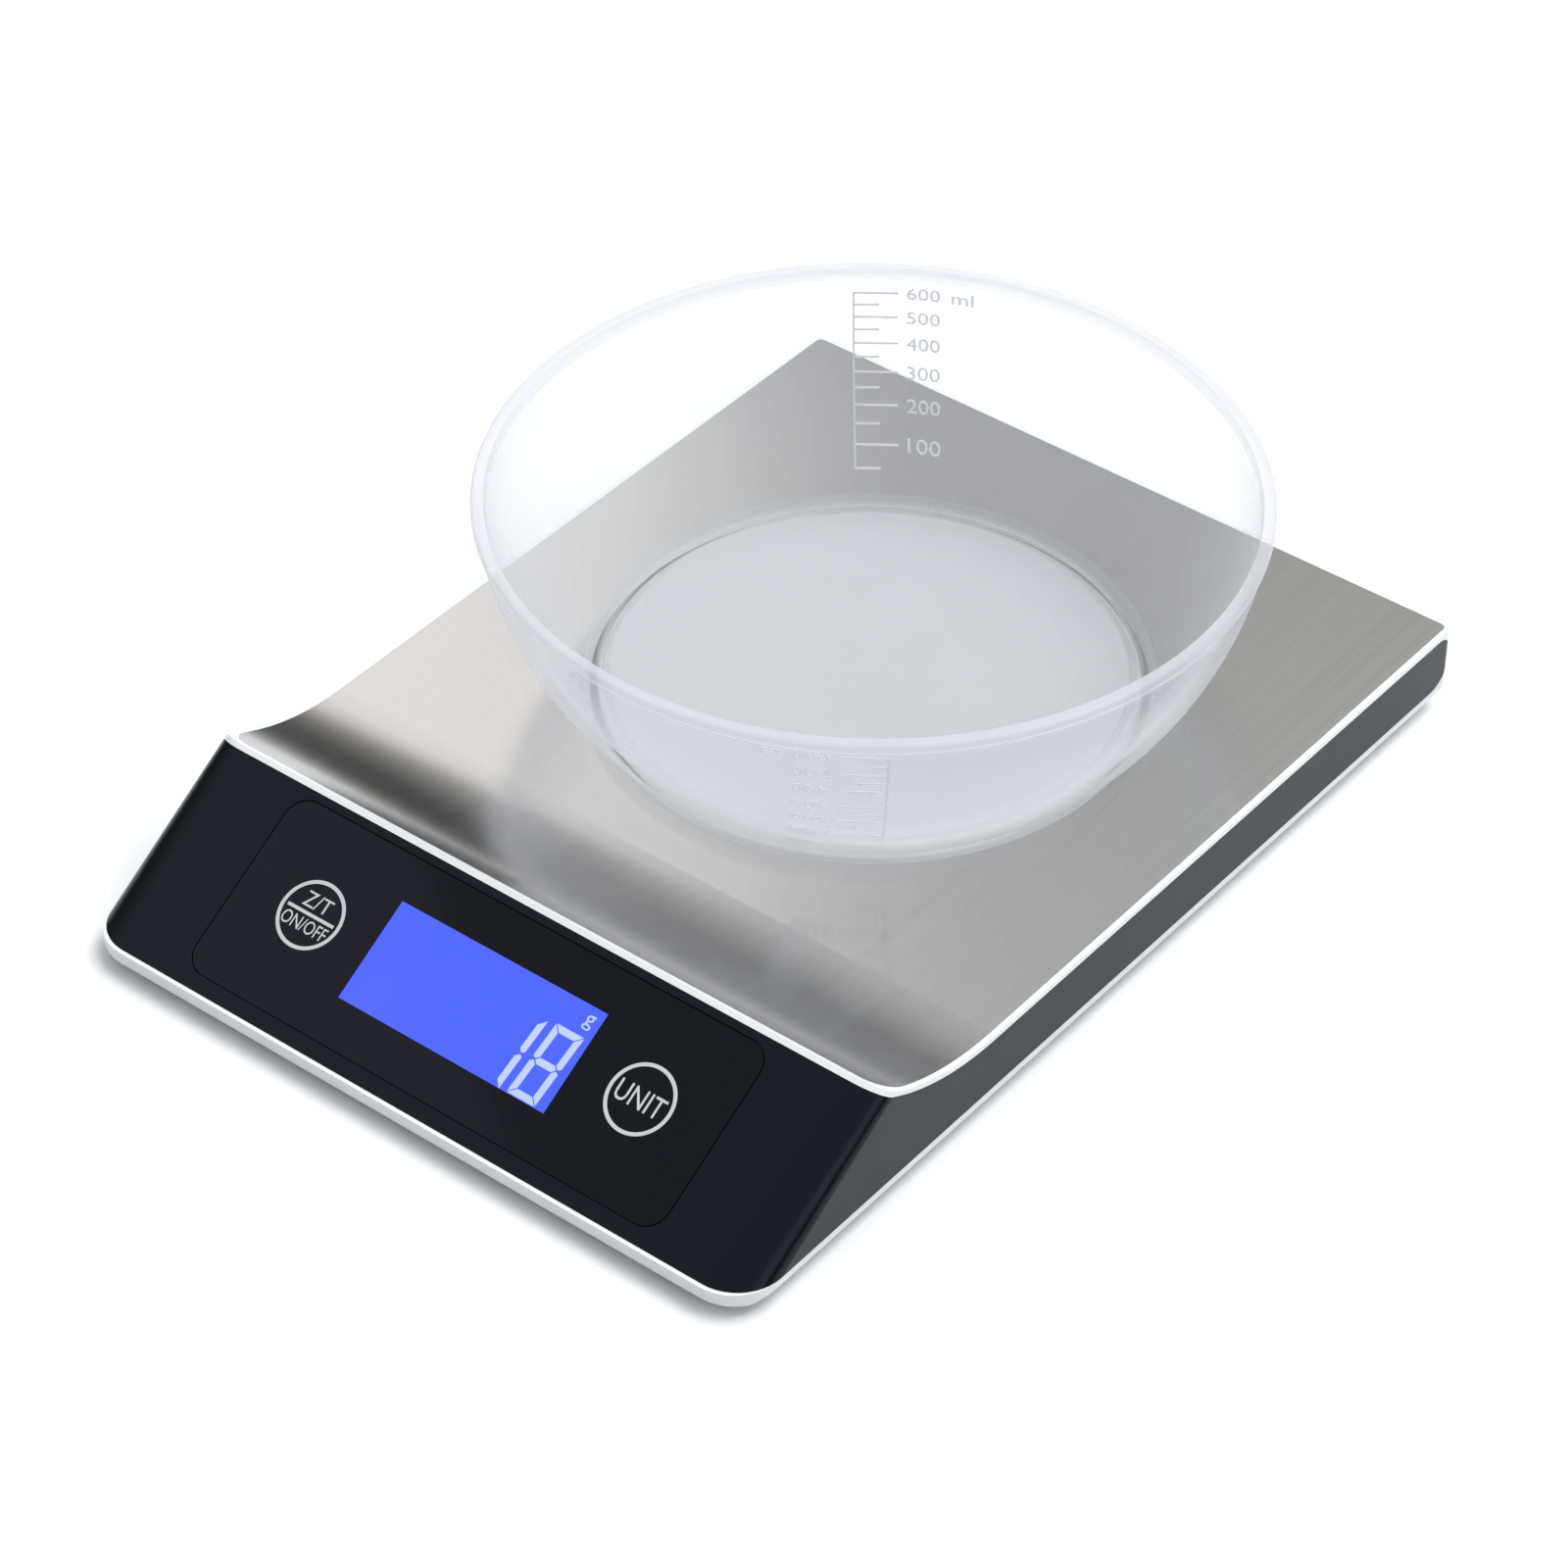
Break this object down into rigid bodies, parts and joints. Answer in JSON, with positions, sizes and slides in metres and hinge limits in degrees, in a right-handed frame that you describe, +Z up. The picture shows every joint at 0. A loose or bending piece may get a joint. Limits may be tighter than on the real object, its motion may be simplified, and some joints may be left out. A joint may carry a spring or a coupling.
{
  "type": "kitchen scale",
  "caption": "Slim electronic kitchen scale: brushed steel platform swept up to a sloped black display front, with a translucent measuring bowl that lifts off.",
  "frame": {"origin": "on the table, under the middle of the scale's body", "axes": "+Z up, the display faces -Y, +X to the right of a person who reads it"},
  "size_m": [0.17, 0.2396, 0.069],
  "materials": {
    "white_shell": "moulded ABS, satin",
    "black_gloss": "high-gloss ABS",
    "panel_lens": "polished acrylic, printed behind",
    "brushed_steel": "stainless sheet brushed front to back",
    "adhesive": "double-sided sheet",
    "display_glass": "liquid-crystal cell",
    "backlight": "blue light guide",
    "zebra": "striped silicone",
    "circuit_board": "solder mask",
    "board_parts": "moulded",
    "zinc_steel": "zinc plated",
    "spring_steel": "nickel plated",
    "battery_jacket": "printed film over steel can",
    "gauge_epoxy": "cured potting",
    "clear_bowl": "translucent polypropylene",
    "foot_plastic": "moulded",
    "foot_rubber": "soft pad",
    "cell_steel": "stamped",
    "cell_lead": "insulated",
    "red_lead": "insulated",
    "black_lead": "insulated"
  },
  "bodies": {
    "scale_body": {"backlight": "backlight", "battery_back": "battery_jacket", "battery_bridge_contact": "spring_steel", "battery_front": "battery_jacket", "battery_lead_negative": "black_lead", "battery_lead_positive": "red_lead", "battery_negative_contact": "spring_steel", "battery_positive_contact": "spring_steel", "board_parts": "board_parts", "board_screws": "zinc_steel", "cell_lead_back_left": "cell_lead", "cell_lead_back_right": "cell_lead", "cell_lead_front_left": "cell_lead", "cell_lead_front_right": "cell_lead", "contact_strip": "zebra", "control_panel": "panel_lens", "display_glass": "display_glass", "display_holder": "white_shell", "foot_cap_back_left": "foot_plastic", "foot_cap_back_right": "foot_plastic", "foot_cap_front_left": "foot_plastic", "foot_cap_front_right": "foot_plastic", "foot_pad_back_left": "foot_rubber", "foot_pad_back_right": "foot_rubber", "foot_pad_front_left": "foot_rubber", "foot_pad_front_right": "foot_rubber", "load_cell_back_left": "cell_steel", "load_cell_back_right": "cell_steel", "load_cell_front_left": "cell_steel", "load_cell_front_right": "cell_steel", "lower_shell": "white_shell", "main_board": "circuit_board", "panel_adhesive": "adhesive", "plate_adhesive": "adhesive", "platform_plate": "brushed_steel", "shell_screws": "zinc_steel", "side_band": "black_gloss", "strain_gauges": "gauge_epoxy", "touch_springs": "spring_steel", "upper_frame": "white_shell"},
    "measuring_bowl": {"bowl": "clear_bowl"},
    "battery_door": {"battery_door": "white_shell"}
  },
  "joints": [
    {"name": "bowl_lift", "type": "slide", "parent": "scale_body", "child": "measuring_bowl", "axis": [0, 0, 1], "range_m": [0, 0.12]},
    {"name": "battery_door_hinge", "type": "hinge", "parent": "scale_body", "child": "battery_door", "pos_m": [0, 0.03355, 0.00285], "axis": [1, 0, 0], "range_deg": [0, 80]}
  ]
}
